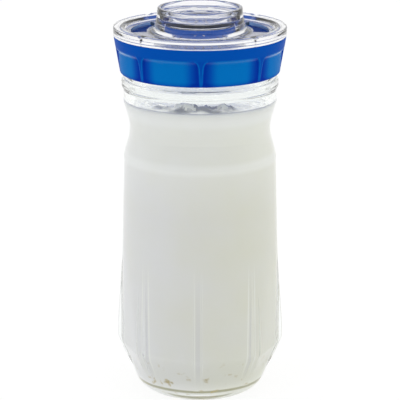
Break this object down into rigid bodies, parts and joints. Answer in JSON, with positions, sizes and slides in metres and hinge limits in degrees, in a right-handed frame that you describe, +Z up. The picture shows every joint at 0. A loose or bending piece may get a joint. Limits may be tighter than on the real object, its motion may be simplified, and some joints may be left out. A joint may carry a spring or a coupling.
{
  "type": "kefir fermentation jar",
  "caption": "Tall ribbed glass fermentation jar with a drawn-in waist, a screw-on strainer cap, a clear cover and a small measuring cap in its collar.",
  "frame": {"origin": "centre of the base, on the plane the jar stands on", "axes": "+Z up along the jar's own axis, -Y towards the front"},
  "size_m": [0.092, 0.092, 0.2115],
  "materials": {
    "glass": "clear pressed glass, fire polished",
    "blue_plastic": "moulded blue polypropylene, satin gloss",
    "clear_plastic": "clear moulded plastic, glossy",
    "silicone": "matt white silicone",
    "black_rubber": "matt black rubber"
  },
  "bodies": {
    "jar": {"glass_jar": "glass"},
    "gasket": {"mouth_gasket": "silicone"},
    "cap": {"strainer_cap": "blue_plastic"},
    "cover_ring": {"cover_seal": "silicone"},
    "cover": {"clear_cover": "clear_plastic"},
    "cup_ring": {"cup_o_ring": "black_rubber"},
    "cup": {"measuring_cap": "clear_plastic"}
  },
  "joints": [
    {"name": "cap_rise", "type": "slide", "parent": "jar", "child": "gasket", "axis": [0, 0, 1], "range_m": [0, 0.0251]},
    {"name": "cap_unscrew", "type": "hinge", "parent": "gasket", "child": "cap", "pos_m": [0, 0, 0.189], "axis": [0, 0, 1], "range_deg": [0, 900]},
    {"name": "cover_lift", "type": "slide", "parent": "cap", "child": "cover_ring", "axis": [0, 0, 1], "range_m": [0, 0.025]},
    {"name": "cover_turn", "type": "hinge", "parent": "cover_ring", "child": "cover", "pos_m": [0, 0, 0.1968], "axis": [0, 0, 1], "continuous": true},
    {"name": "cup_lift", "type": "slide", "parent": "cover", "child": "cup_ring", "axis": [0, 0, 1], "range_m": [0, 0.03]},
    {"name": "cup_turn", "type": "hinge", "parent": "cup_ring", "child": "cup", "pos_m": [0, 0, 0.2063], "axis": [0, 0, 1], "continuous": true}
  ],
  "couplings": [
    {"joint": "cap_rise", "follows": "cap_unscrew", "m_per_rad": 0.0015915}
  ]
}
